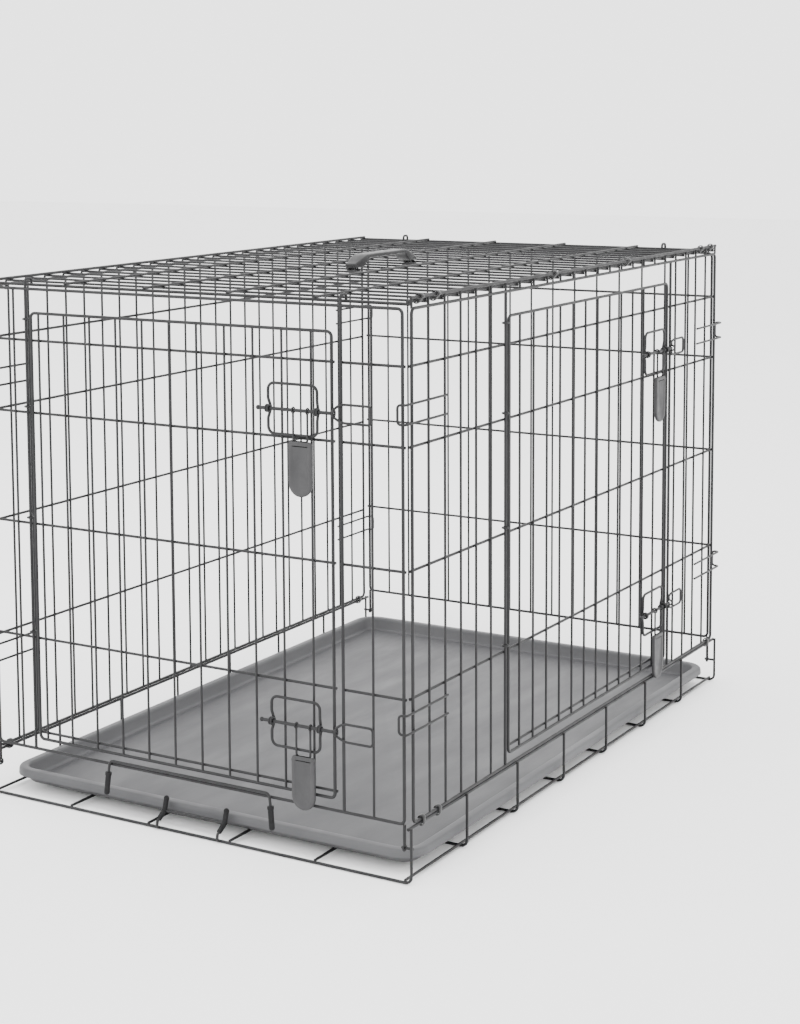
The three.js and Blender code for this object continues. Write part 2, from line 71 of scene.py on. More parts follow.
# Planes and heights
UPRIGHT_X = 353.5
UPRIGHT_Y = 531.5
SIDE_PLANE = 349.98
END_PLANE = 528.205
SIDE_HALF = 519.755
END_HALF = 341.53
FLOOR_LOW = 2.0
FLOOR_HIGH = 5.4
LEFT_RIM = 62.0
RIGHT_RIM = 74.0
REAR_PIVOT = 38.5
FRONT_PIVOT = 47.0
END_BOTTOM = 78.0
LEFT_BOTTOM = 67.0
RIGHT_BOTTOM = 79.0
WALL_TOP = 746.05
HINGE_HEIGHT = 759.75
ROOF_EDGE = 345.18
ROOF_ROWS_Z = 754.85
ROOF_CROSS_Z = 751.45

# Spacing
SIDE_SPACES = 24
FRONT_SPACES = 15
REAR_SPACES = 16
ROOF_ROWS = 5
RAIL_SHARES = (0.11, 0.265, 0.505, 0.755)
LATCH_SHARES = (0.208, 0.838)
CATCH_SHARES = (0.198, 0.797)
SIDE_PITCH = 2 * SIDE_HALF / SIDE_SPACES
FRONT_PITCH = 2 * END_HALF / FRONT_SPACES
FRONT_DOORWAY = (-END_HALF + 1.5 * FRONT_PITCH, -END_HALF + 13 * FRONT_PITCH)
SIDE_DOORWAY = (-SIDE_HALF + 6 * SIDE_PITCH, -SIDE_HALF + 19.5 * SIDE_PITCH)

# Latches, on a wall that faces -Y
LATCH_Y = -4.07
BOLT_Y = -7.294
HANGER_Y = -7.67
KEEPER_Y = -3.85
# Their sizes; a distance from the keeper is from the doorway's wire it is welded to
LATCH_FROM_KEEPER = 34.0
LATCH_WIDTH = 76.0
LATCH_HALF = 33.5  # its half height
DIP_HALF = 13.0
DIP_DEPTH = 2.6
EYE_STEP = 3.0  # between the two turns of a latch's eye
LATCH_EYE = 4.2
BOLT_TIP = 10.5  # from the keeper's wire
BOLT_TAIL = 121.5
BOLT_ROUND = 0.9
BALL_OVER_TAIL = 2.3
BALL = 3.2
GRIP_FROM_KEEPER = 58.0
HANGER_HALF = 11.0
HANGER_DROP = 42.0
HANGER_TOP = 3.4
HANGER_EYE = 3.75
HANGER_EYE_WIRE = 2.2
GRIP_DROP = 40.5
GRIP_LENGTH = 73.3
GRIP_HALF = 17.9
GRIP_THICK = 5.0
GRIP_RIM = 1.4
GRIP_CORNER = 5.0
GRIP_SIDES = 14
DISH_BORDER = 3.6
DISH_SLOPE = 1.0
DISH_DEPTH = 0.7
DISH_AREA = 400.0  # least, in square mm, of the face it is sunk in
KEEPER_EYE = 7.5
KEEPER_END = 46.5
KEEPER_HALF = 12.0
KEEPER_RING = 4.0
KEEPER_RING_WIRE = 2.6
KEEPER_LEAN = 0.2


def from_top(share, bottom):
    return WALL_TOP - share * (WALL_TOP - bottom)


def standing(x, y, quarter_turns):
    """Turns a wall drawn facing -Y into its place, and millimetres into metres."""
    turn = Matrix.Rotation(quarter_turns * pi / 2, 4, "Z")
    return Matrix.Scale(MM, 4) @ Matrix.Translation((x + CRATE_SHIFT, y, 0)) @ turn


CRATE = standing(0, 0, 0)
FRONT = standing(0, -END_PLANE, 0)
RIGHT = standing(SIDE_PLANE, 0, 1)
REAR = standing(0, END_PLANE, 2)
LEFT = standing(-SIDE_PLANE, 0, -1)


# ---- finishes ----


class Finish:
    """A principled material whose pattern reads Object coordinates."""

    def __init__(self, name, colour, roughness, specular):
        self.material = bpy.data.materials.new(name)
        self.material.use_nodes = True
        self.nodes = self.material.node_tree.nodes
        self.links = self.material.node_tree.links
        self.shader = self.nodes["Principled BSDF"]
        self.shader.inputs["Base Color"].default_value = (*colour, 1)
        self.shader.inputs["Roughness"].default_value = roughness
        self.shader.inputs["Specular IOR Level"].default_value = specular
        self.place = self.nodes.new("ShaderNodeTexCoord").outputs["Object"]

    def noise(self, scale, detail=3.0, stretch=None):
        texture = self.nodes.new("ShaderNodeTexNoise")
        texture.inputs["Scale"].default_value = scale
        texture.inputs["Detail"].default_value = detail
        place = self.place
        if stretch:
            mapping = self.nodes.new("ShaderNodeMapping")
            mapping.inputs["Scale"].default_value = stretch
            self.links.new(place, mapping.inputs["Vector"])
            place = mapping.outputs["Vector"]
        self.links.new(place, texture.inputs["Vector"])
        return texture.outputs["Fac"]

    def grain(self, scale):
        texture = self.nodes.new("ShaderNodeTexVoronoi")
        texture.inputs["Scale"].default_value = scale
        self.links.new(self.place, texture.inputs["Vector"])
        return texture.outputs["Distance"]

    def ramp(self, source, stops):
        ramp = self.nodes.new("ShaderNodeValToRGB")
        ramp.color_ramp.elements[0].position = stops[0][0]
        ramp.color_ramp.elements[0].color = (*stops[0][1], 1)
        ramp.color_ramp.elements[1].position = stops[-1][0]
        ramp.color_ramp.elements[1].color = (*stops[-1][1], 1)
        for position, colour in stops[1:-1]:
            ramp.color_ramp.elements.new(position).color = (*colour, 1)
        self.links.new(source, ramp.inputs["Fac"])
        return ramp.outputs["Color"]

    def colour(self, source, stops):
        self.links.new(self.ramp(source, stops), self.shader.inputs["Base Color"])

    def roughness(self, source, low, high):
        span = self.nodes.new("ShaderNodeMapRange")
        span.inputs["From Min"].default_value = NOISE_BAND[0]
        span.inputs["From Max"].default_value = NOISE_BAND[1]
        span.inputs["To Min"].default_value = low
        span.inputs["To Max"].default_value = high
        self.links.new(source, span.inputs["Value"])
        self.links.new(span.outputs["Result"], self.shader.inputs["Roughness"])

    def bump(self, *layers):
        normal = None
        for source, strength, distance in layers:
            bump = self.nodes.new("ShaderNodeBump")
            bump.inputs["Strength"].default_value = strength
            bump.inputs["Distance"].default_value = distance
            self.links.new(source, bump.inputs["Height"])
            if normal:
                self.links.new(normal, bump.inputs["Normal"])
            normal = bump.outputs["Normal"]
        self.links.new(normal, self.shader.inputs["Normal"])


def coated_wire():
    dark, light = (0.006, 0.006, 0.0066), (0.013, 0.013, 0.014)
    finish = Finish("satin black coated wire", (0.009, 0.009, 0.01), 0.5, specular=0.28)
    finish.colour(finish.noise(14, 4), [(0.3, dark), (0.7, light)])
    finish.roughness(finish.noise(60, 5), 0.42, 0.58)
    finish.bump((finish.noise(420, 4), 0.25, 0.0003))
    return finish.material


def clip_steel():
    dark, light = (0.004, 0.004, 0.0045), (0.009, 0.009, 0.01)
    finish = Finish("black ring clip", (0.006, 0.006, 0.0065), 0.34, specular=0.35)
    finish.colour(finish.noise(90, 4), [(0.35, dark), (0.7, light)])
    finish.roughness(finish.noise(240, 4), 0.26, 0.44)
    finish.bump((finish.noise(700, 3), 0.2, 0.0002))
    return finish.material


def handle_plastic():
    dark, light = (0.004, 0.004, 0.0045), (0.009, 0.009, 0.0095)
    finish = Finish("black handle plastic", (0.006, 0.006, 0.0065), 0.4, specular=0.3)
    finish.colour(finish.noise(25, 3), [(0.3, dark), (0.75, light)])
    finish.roughness(finish.noise(120, 4), 0.34, 0.48)
    finish.bump((finish.grain(900), 0.12, 0.0002))
    return finish.material


def grip_plastic():
    dark, light = (0.026, 0.0258, 0.027), (0.036, 0.0356, 0.037)
    finish = Finish("mid grey pull tab", (0.031, 0.0306, 0.032), 0.5, specular=0.3)
    finish.colour(finish.noise(40, 4), [(0.3, dark), (0.7, light)])
    finish.roughness(finish.noise(150, 4), 0.42, 0.58)
    finish.bump((finish.grain(1100), 0.18, 0.0002))
    return finish.material


def boot_rubber():
    dark, light = (0.004, 0.004, 0.0045), (0.009, 0.009, 0.0095)
    finish = Finish("dark rubber boot", (0.006, 0.006, 0.0065), 0.7, specular=0.2)
    finish.colour(finish.noise(80, 4), [(0.3, dark), (0.7, light)])
    finish.roughness(finish.noise(300, 3), 0.6, 0.8)
    finish.bump((finish.noise(900, 3), 0.3, 0.0002))
    return finish.material


def pan_plastic():
    dark, grey, light = (0.054, 0.054, 0.057), (0.064, 0.064, 0.067), (0.075, 0.075, 0.078)
    finish = Finish("grey moulded pan", grey, 0.5, specular=0.3)
    finish.colour(finish.noise(5, 5), [(0.3, dark), (0.55, grey), (0.75, light)])
    finish.roughness(finish.noise(22, 5, (1, 0.25, 1)), 0.4, 0.62)
    finish.bump((finish.grain(520), 0.22, 0.0004), (finish.noise(9, 2), 0.25, 0.002))
    return finish.material


WIRE = coated_wire()
CLIP = clip_steel()
HANDLE = handle_plastic()
TAB = grip_plastic()
BOOT = boot_rubber()
PAN = pan_plastic()


# ---- drawing wire ----


def edges_among(verts):
    inside = set(verts)
    edges = {edge for vert in verts for edge in vert.link_edges}
    return [edge for edge in edges if all(vert in inside for vert in edge.verts)]


def ring(bm, at, along, diameter, sides=WIRE_SIDES):
    turn = along.to_track_quat("Z", "Y").to_matrix().to_4x4()
    place = Matrix.Translation(at) @ turn
    circle = bmesh.ops.create_circle(bm, segments=sides, radius=diameter / 2, matrix=place)
    return circle["verts"]


def draw_on(bm, verts, step):
    made = bmesh.ops.extrude_edge_only(bm, edges=edges_among(verts))["geom"]
    far = [item for item in made if isinstance(item, bmesh.types.BMVert)]
    bmesh.ops.translate(bm, verts=far, vec=step)
    return far


def turn_on(bm, verts, centre, axis, angle, steps):
    made = bmesh.ops.spin(
        bm,
        geom=list(verts) + edges_among(verts),
        cent=centre,
        axis=axis,
        dvec=(0, 0, 0),
        angle=angle,
        steps=steps,
        use_merge=False,
    )
    return [item for item in made["geom_last"] if isinstance(item, bmesh.types.BMVert)]


def close_end(bm, verts):
    bmesh.ops.contextual_create(bm, geom=edges_among(verts))


def widen(verts, at, normal, factor):
    """Flattens a round wire's section into a strip that is factor times as wide along normal."""
    for vert in verts:
        vert.co += normal * (vert.co - at).dot(normal) * (factor - 1)


def rod(bm, start, end, diameter, sides=WIRE_SIDES):
    start, end = Vector(start), Vector(end)
    along = end - start
    turn = along.to_track_quat("Z", "Y").to_matrix().to_4x4()
    bmesh.ops.create_cone(
        bm,
        cap_ends=True,
        segments=sides,
        radius1=diameter / 2,
        radius2=diameter / 2,
        depth=along.length,
        matrix=Matrix.Translation((start + end) / 2) @ turn,
    )


def bent(bm, points, diameter, bend=6.0, closed=False, strip=None, sides=WIRE_SIDES):
    """One wire through the points, bent round each of them. A closed wire meets its own start."""
    points = [Vector(point) for point in points]
    if closed:
        seam = (points[0] + points[-1]) / 2
        points = [seam] + points + [seam]
    here = points[0]
    along = (points[1] - here).normalized()
    first = verts = ring(bm, here, along, diameter, sides)
    if strip:
        widen(verts, here, strip[0], strip[1])
    for i in range(1, len(points) - 1):
        onward = (points[i + 1] - points[i]).normalized()
        angle = along.angle(onward)
        if angle < STRAIGHT:
            continue
        room = min((points[i] - here).length, (points[i + 1] - points[i]).length * 0.5)
        radius = min(bend, room * BEND_ROOM / tan(angle / 2))
        start = points[i] - along * radius * tan(angle / 2)
        if (start - here).length > 0.01:
            verts = draw_on(bm, verts, start - here)
        axis = along.cross(onward).normalized()
        centre = start + axis.cross(along) * radius
        verts = turn_on(bm, verts, centre, axis, angle, max(2, round(angle / BEND_STEP)))
        here = points[i] + onward * radius * tan(angle / 2)
        along = onward
    verts = draw_on(bm, verts, points[-1] - here)
    if closed:
        bmesh.ops.remove_doubles(bm, verts=list(first) + list(verts), dist=TOUCHING)
    else:
        close_end(bm, first)
        close_end(bm, verts)


def loop(bm, centre, axis, radius, diameter, sides=8):
    """A closed ring of wire round an axis."""
    centre, axis = Vector(centre), Vector(axis)
    out = axis.orthogonal().normalized()
    verts = ring(bm, centre + out * radius, axis.cross(out), diameter, sides)
    bmesh.ops.spin(
        bm,
        geom=verts + edges_among(verts),
        cent=centre,
        axis=axis,
        dvec=(0, 0, 0),
        angle=2 * pi,
        steps=LOOP_STEPS,
        use_merge=True,
    )


def ball(bm, at, radius):
    place = Matrix.Translation(at)
    bmesh.ops.create_uvsphere(bm, u_segments=12, v_segments=8, radius=radius, matrix=place)


def round_off(bm, geom, offset, segments, affect="EDGES"):
    bmesh.ops.bevel(
        bm, geom=geom, offset=offset, affect=affect, segments=segments, profile=0.5, material=-1
    )


def step_in(bm, faces, inward, rise):
    """Draws a border of its own width and rise inside the faces."""
    bmesh.ops.inset_region(
        bm, faces=faces, thickness=inward, depth=rise, use_even_offset=True, use_boundary=True
    )


def finished(name, bm, body, nodes, material, place=CRATE, smooth_under=50):
    """Places the drawn piece, smooths its round faces and hands it to its body."""
    bmesh.ops.transform(bm, matrix=place, verts=bm.verts)
    bmesh.ops.recalc_face_normals(bm, faces=bm.faces)
    bm.normal_update()
    for face in bm.faces:
        face.smooth = True
    for edge in bm.edges:
        edge.smooth = edge.calc_face_angle(0) < radians(smooth_under)
    mesh = bpy.data.meshes.new(name)
    bm.to_mesh(mesh)
    bm.free()
    mesh.materials.append(material)
    piece = bpy.data.objects.new(name, mesh)
    bpy.context.collection.objects.link(piece)
    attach(piece, body)
    if nodes:
        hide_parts(*nodes)
    return piece


# ---- floor tray ----


CROSS_WIRES = 8
LONG_WIRES = 6
RIM_LAP = 1.5  # of a turned-up wire over its rim
WELD_LAP = 1.0
PIN_INWARD = 4.0


def floor_tray():
    bm = bmesh.new()
    tops = {-1: LEFT_RIM + RIM_LAP, 1: RIGHT_RIM + RIM_LAP}
    for k in range(CROSS_WIRES):
        y = -UPRIGHT_Y + k * 2 * UPRIGHT_Y / (CROSS_WIRES - 1)
        route = [
            (-UPRIGHT_X, y, tops[-1]),
            (-UPRIGHT_X, y, FLOOR_LOW),
            (UPRIGHT_X, y, FLOOR_LOW),
            (UPRIGHT_X, y, tops[1]),
        ]
        bent(bm, route, FLOOR_WIRE, TRAY_BEND)
    long_x = UPRIGHT_X - TRAY_BEND
    reach = UPRIGHT_Y + WELD_LAP
    for k in range(LONG_WIRES):
        x = long_x * (2 * k / (LONG_WIRES - 1) - 1)
        rod(bm, (x, -reach, FLOOR_HIGH), (x, reach, FLOOR_HIGH), FLOOR_WIRE)
    for side, rim in ((-1, LEFT_RIM), (1, RIGHT_RIM)):
        x = side * SIDE_PLANE
        rod(bm, (x, -UPRIGHT_Y - OVERHANG, rim), (x, UPRIGHT_Y + OVERHANG, rim), FRAME_WIRE)
        for y, height in ((-END_PLANE, FRONT_PIVOT), (END_PLANE, REAR_PIVOT)):
            inner = side * (END_HALF - PIN_INWARD)
            outer = side * (UPRIGHT_X + WELD_LAP)
            rod(bm, (inner, y, height), (outer, y, height), FLOOR_WIRE)
    nodes = ["floor_grid", "floor_rail_left", "floor_rail_right"]
    finished("floor_tray_wires", bm, "floor", nodes, WIRE)


# ---- walls ----


def uprights(half, spaces):
    return [half * (2 * i / spaces - 1) for i in range(spaces + 1)]


def rail_heights(bottom):
    return [from_top(share, bottom) for share in RAIL_SHARES]


def frame_loop(bm, left, right, bottom, top):
    corners = [(right, 0, bottom), (right, 0, top), (left, 0, top), (left, 0, bottom)]
    bent(bm, corners, FRAME_WIRE, FRAME_BEND, closed=True)


def bay(bm, left, right, places, bottom, top, rail_y, heights):
    for x in places:
        if left + MESH_WIRE < x < right - MESH_WIRE:
            rod(bm, (x, 0, bottom), (x, 0, top), MESH_WIRE)
    for z in heights:
        rod(bm, (left - OVERHANG, rail_y, z), (right + OVERHANG, rail_y, z), RAIL_WIRE)


def wall(bm, half, spaces, bottom, rail_y, doorway=None):
    places = uprights(half, spaces)
    heights = rail_heights(bottom)
    frame_loop(bm, -half, half, bottom, WALL_TOP)
    if not doorway:
        bay(bm, -half, half, places, bottom, WALL_TOP, rail_y, heights)
        return
    hinge, keeper = doorway
    for x in doorway:
        rod(bm, (x, 0, bottom), (x, 0, WALL_TOP), FRAME_WIRE)
    bay(bm, -half, hinge, places, bottom, WALL_TOP, rail_y, heights)
    bay(bm, keeper, half, places, bottom, WALL_TOP, rail_y, heights)


PIVOT_EYE = 3.9
PIVOT_LEG_FOOT = 3.5  # of a leg over its pivot


def pivot_legs(bm, pivot):
    for x in (-END_HALF, END_HALF):
        rod(bm, (x, 0, END_BOTTOM), (x, 0, pivot + PIVOT_LEG_FOOT), FRAME_WIRE)
        loop(bm, (x, 0, pivot), (1, 0, 0), PIVOT_EYE, EYE_WIRE)


# From the doorway's wires and the wall's frame to the door's own frame
DOOR_HINGE_GAP = 9.0
DOOR_EDGE_GAP = 14.0
DOOR_FOOT_GAP = 16.0
DOOR_HEAD_GAP = 34.0
DOOR_RAIL_GAP = 9.0  # from a rail or the door's frame to the next eye or rail
DOOR_EYE = 4.1
DOOR_ARM_START = 4.0
DOOR_ARM = 3.2


def door(name, place, half, spaces, doorway, bottom):
    bm = bmesh.new()
    hinge, keeper = doorway
    left = hinge + DOOR_HINGE_GAP
    right = keeper - DOOR_EDGE_GAP
    low = bottom + DOOR_FOOT_GAP
    high = WALL_TOP - DOOR_HEAD_GAP
    frame_loop(bm, left, right, low, high)
    heights = rail_heights(bottom)
    rails = heights + [low + DOOR_RAIL_GAP]
    bay(bm, left, right, uprights(half, spaces), low, high, LAP, rails)
    for z in [height + DOOR_RAIL_GAP for height in heights[1:]] + [high - DOOR_RAIL_GAP]:
        loop(bm, (hinge, 0, z), (0, 0, 1), DOOR_EYE, EYE_WIRE)
        rod(bm, (hinge + DOOR_ARM_START, 0, z), (left, 0, z), DOOR_ARM)
    finished(name + "_wires", bm, name, [name], WIRE, place)


def front_wall():
    bm = bmesh.new()
    wall(bm, END_HALF, FRONT_SPACES, END_BOTTOM, LAP, FRONT_DOORWAY)
    pivot_legs(bm, FRONT_PIVOT)
    finished("front_wall_wires", bm, "front_wall", ["front_panel"], WIRE, FRONT)
    door("front_door", FRONT, END_HALF, FRONT_SPACES, FRONT_DOORWAY, END_BOTTOM)


def rear_wall():
    bm = bmesh.new()
    wall(bm, END_HALF, REAR_SPACES, END_BOTTOM, LAP)
    pivot_legs(bm, REAR_PIVOT)
    finished("rear_wall_wires", bm, "rear_wall", ["rear_panel"], WIRE, REAR)


def right_wall():
    bm = bmesh.new()
    wall(bm, SIDE_HALF, SIDE_SPACES, RIGHT_BOTTOM, LAP, SIDE_DOORWAY)
    reach = SIDE_HALF + OVERHANG
    rod(bm, (-reach, 0, HINGE_HEIGHT), (reach, 0, HINGE_HEIGHT), FRAME_WIRE)
    for x in uprights(SIDE_HALF, SIDE_SPACES):
        rod(bm, (x, 0, WALL_TOP), (x, 0, HINGE_HEIGHT), MESH_WIRE)
    finished("right_wall_wires", bm, "right_wall", ["right_panel"], WIRE, RIGHT)
    door("side_door", RIGHT, SIDE_HALF, SIDE_SPACES, SIDE_DOORWAY, RIGHT_BOTTOM)


def left_wall():
    bm = bmesh.new()
    wall(bm, SIDE_HALF, SIDE_SPACES, LEFT_BOTTOM, -LAP)
    finished("left_wall_wires", bm, "left_wall", ["left_panel"], WIRE, LEFT)


# ---- latches ----


def latch_frame(name, body, place, keeper, z):
    """A rectangle of wire whose short sides dip in behind the bolt."""
    bm = bmesh.new()
    right = keeper - LATCH_FROM_KEEPER
    left = right - LATCH_WIDTH
    low, high = z - LATCH_HALF, z + LATCH_HALF
    middle = (left + right) / 2
    behind = LATCH_Y + DIP_DEPTH
    route = [
        (middle, LATCH_Y, low),
        (right, LATCH_Y, low),
        (right, LATCH_Y, z - DIP_HALF),
        (right, behind, z),
        (right, LATCH_Y, z + DIP_HALF),
        (right, LATCH_Y, high),
        (left, LATCH_Y, high),
        (left, LATCH_Y, z + DIP_HALF),
        (left + EYE_STEP, behind, z),
        (left, LATCH_Y, z - DIP_HALF),
        (left, LATCH_Y, low),
    ]
    bent(bm, route, LATCH_WIRE, 9, closed=True)
    for x in (left, left + EYE_STEP, right, right + EYE_STEP):
        loop(bm, (x, BOLT_Y, z), (1, 0, 0), LATCH_EYE, EYE_WIRE)
    finished(name + "_latch_loop", bm, body, [name + "_latch_frame"], WIRE, place)


def bolt(name, place, keeper, z):
    bm = bmesh.new()
    tip = keeper - BOLT_TIP
    tail = keeper - BOLT_TAIL
    rod(bm, (tail, BOLT_Y, z), (tip, BOLT_Y, z), BOLT_WIRE, ROUND_SIDES)
    ends = [edge for edge in bm.edges if len({round(v.co.x, 2) for v in edge.verts}) == 1]
    round_off(bm, ends, BOLT_ROUND, 3)
    ball(bm, (tail - BALL_OVER_TAIL, BOLT_Y, z), BALL)
    finished(name + "_slide_bolt", bm, name + "_bolt", [name + "_bolt"], WIRE, place)


def hanger(name, place, keeper, z):
    bm = bmesh.new()
    middle = keeper - GRIP_FROM_KEEPER
    left, right = middle - HANGER_HALF, middle + HANGER_HALF
    low, high = z - HANGER_DROP, z - HANGER_TOP
    for x in (left, right):
        loop(bm, (x, BOLT_Y, z), (1, 0, 0), HANGER_EYE, HANGER_EYE_WIRE)
    route = [
        (left, HANGER_Y, high),
        (left, HANGER_Y, low),
        (right, HANGER_Y, low),
        (right, HANGER_Y, high),
    ]
    bent(bm, route, HANGER_WIRE, 5)
    finished(name + "_hanger_wire", bm, name + "_pull", [name + "_hanger"], WIRE, place)


def grip(name, place, keeper, z):
    """A flat moulded tab, round at its lower end, with a shallow thumb dish."""
    bm = bmesh.new()
    middle = keeper - GRIP_FROM_KEEPER
    top = z - GRIP_DROP
    turn = top - GRIP_LENGTH + GRIP_HALF
    left, right = middle - GRIP_HALF, middle + GRIP_HALF
    face_y = HANGER_Y - GRIP_THICK / 2
    corners = [(left, top), (left, turn), (right, turn), (right, top)]
    verts = [bm.verts.new((x, face_y, height)) for x, height in corners]
    bmesh.ops.contextual_create(bm, geom=verts)
    lower = [bm.edges.get((verts[1], verts[2]))]
    bmesh.ops.delete(bm, geom=list(bm.faces), context="FACES_ONLY")
    bmesh.ops.delete(bm, geom=lower, context="EDGES")
    bmesh.ops.spin(
        bm,
        geom=[verts[1]],
        cent=(middle, face_y, turn),
        axis=(0, -1, 0),
        dvec=(0, 0, 0),
        angle=pi,
        steps=GRIP_SIDES,
        use_merge=False,
    )
    bmesh.ops.remove_doubles(bm, verts=bm.verts, dist=TOUCHING)
    bmesh.ops.contextual_create(bm, geom=list(bm.edges))
    bm.normal_update()
    front = list(bm.faces)
    if front[0].normal.y > 0:
        bmesh.ops.reverse_faces(bm, faces=front)
    uppers = [vert for vert in bm.verts if vert.co.z > top - 0.1]
    round_off(bm, uppers, GRIP_CORNER, 5, "VERTICES")
    back = bmesh.ops.extrude_face_region(bm, geom=list(bm.faces), use_keep_orig=True)["geom"]
    moved = [item for item in back if isinstance(item, bmesh.types.BMVert)]
    bmesh.ops.translate(bm, verts=moved, vec=(0, GRIP_THICK, 0))
    bmesh.ops.recalc_face_normals(bm, faces=bm.faces)
    bm.normal_update()
    broad = [face for face in bm.faces if abs(face.normal.y) > 0.9]
    rims = list({edge for face in broad for edge in face.edges})
    round_off(bm, rims, GRIP_RIM, 3)
    bm.normal_update()
    dish = [face for face in bm.faces if face.normal.y < -0.9 and face.calc_area() > DISH_AREA]
    step_in(bm, dish, DISH_BORDER, 0.0)
    step_in(bm, dish, DISH_SLOPE, -DISH_DEPTH)
    finished(name + "_pull_tab", bm, name + "_pull", [name + "_grip"], TAB, place, 35)


def keeper_loop(name, body, place, keeper, z):
    """A hairpin across the doorway's edge whose legs close in on a ring for the bolt."""
    bm = bmesh.new()
    eye = keeper - KEEPER_EYE
    end = keeper + KEEPER_END
    for lean in (-KEEPER_LEAN, KEEPER_LEAN):
        loop(bm, (eye, BOLT_Y, z), (cos(lean), 0, sin(lean)), KEEPER_RING, KEEPER_RING_WIRE, 10)
    route = [
        (eye - 1, BOLT_Y + 0.6, z + 4.4),
        (eye + 5, KEEPER_Y, z + 9.5),
        (eye + 14, KEEPER_Y, z + KEEPER_HALF),
        (end, KEEPER_Y, z + KEEPER_HALF),
        (end, KEEPER_Y, z - KEEPER_HALF),
        (eye + 14, KEEPER_Y, z - KEEPER_HALF),
        (eye + 5, KEEPER_Y, z - 9.5),
        (eye - 1, BOLT_Y + 0.6, z - 4.4),
    ]
    bent(bm, route, MESH_WIRE, 5)
    finished(name + "_keeper_wire", bm, body, [name + "_keeper"], WIRE, place)


def latches(side, wall_body, door_body, place, keeper, bottom):
    for level, share in zip(("upper", "lower"), LATCH_SHARES):
        name = side + "_" + level
        z = from_top(share, bottom)
        latch_frame(name, door_body, place, keeper, z)
        bolt(name, place, keeper, z)
        hanger(name, place, keeper, z)
        grip(name, place, keeper, z)
        keeper_loop(name, wall_body, place, keeper, z)


# ---- catches and hooks ----


CATCH_HALF = 12.5
CATCH_REACH = 24.0  # past the wall's end
CATCH_INWARD = 11.0
HOOK_RISE = 14.0
HOOK_FOOT = 6.0
HOOK_START = 1.5
HOOK_WIRE = 4.0


def catches(side, place, bottom):
    for level, share in zip(("upper", "lower"), CATCH_SHARES):
        z = from_top(share, bottom)
        for hand, end in ((-1, "left"), (1, "right")):
            bm = bmesh.new()
            root = hand * (SIDE_HALF - 2 * SIDE_PITCH)
            tip = hand * (SIDE_HALF + CATCH_REACH)
            inward = KEEPER_Y + CATCH_INWARD
            low, high = z - CATCH_HALF, z + CATCH_HALF
            route = [
                (root, KEEPER_Y, low),
                (tip, KEEPER_Y, low),
                (tip, inward, low),
                (tip, inward, high),
                (tip, KEEPER_Y, high),
                (root, KEEPER_Y, high),
            ]
            bent(bm, route, MESH_WIRE, 4.5)
            node = side + "_" + level + "_catch_" + end
            finished(node + "_wire", bm, side + "_wall", [node], WIRE, place)


def hooks(side, place, places):
    for end, x in zip(("left", "right"), places):
        bm = bmesh.new()
        route = [
            (x, 0, WALL_TOP + HOOK_START),
            (x, 0, WALL_TOP + HOOK_RISE),
            (x, HOOK_RISE, WALL_TOP + HOOK_RISE),
            (x, HOOK_RISE, WALL_TOP + HOOK_FOOT),
        ]
        bent(bm, route, HOOK_WIRE, 4)
        node = side + "_hook_" + end
        finished(node + "_wire", bm, side + "_wall", [node], WIRE, place)


# ---- ring clips ----


CLIP_RADIUS = 4.1
STRIP_THICK = 1.8
STRIP_WIDENED = 4.2  # times its thickness
CLIP_SPACES = (0.5, 1.5, 9.5, 15.5, 22.5, 23.5)
FLOOR_CLIPS = (
    ("right", 1, RIGHT_RIM, (0.5, 1.5, 23.5)),
    ("left", -1, LEFT_RIM, (0.5, 23.5)),
)
FLOOR_CLIP_SPAN = 5.0


def ring_clip(bm, along_y, first, across, up):
    """A flat strip closed round two parallel wires that run along Y."""
    start = Vector((first[0], along_y, first[1]))
    step = Vector((across, 0, up))
    reach = step.normalized()
    side = reach.cross(Vector((0, 1, 0)))
    low, high = start - reach * CLIP_RADIUS, start + step + reach * CLIP_RADIUS
    aside = side * CLIP_RADIUS
    route = [low - aside, high - aside, high + aside, low + aside]
    strip = (Vector((0, 1, 0)), STRIP_WIDENED)
    bent(bm, route, STRIP_THICK, CLIP_RADIUS, closed=True, strip=strip)


def clip_places(spaces):
    return [-SIDE_HALF + space * SIDE_PITCH for space in spaces]


def ring_clips():
    for i, y in enumerate(clip_places(CLIP_SPACES)):
        bm = bmesh.new()
        ring_clip(bm, y, (SIDE_PLANE, HINGE_HEIGHT), -4.8, -4.9)
        node = "roof_clip_%d" % (i + 1)
        finished(node + "_strip", bm, "roof", [node], CLIP)
    for side, x, rim, spaces in FLOOR_CLIPS:
        for i, y in enumerate(clip_places(spaces)):
            bm = bmesh.new()
            ring_clip(bm, y, (x * SIDE_PLANE, rim), 0, FLOOR_CLIP_SPAN)
            node = side + "_floor_clip_%d" % (i + 1)
            finished(node + "_strip", bm, side + "_wall", [node], CLIP)


# ---- roof ----


ROOF_LEFT = -354.1
ROOF_BEND = 3.2
LONG_DROPS = (1, 8, 16, 23)  # crossing wires whose ends reach further down
LONG_DROP = 14.0
SHORT_DROP = 7.0


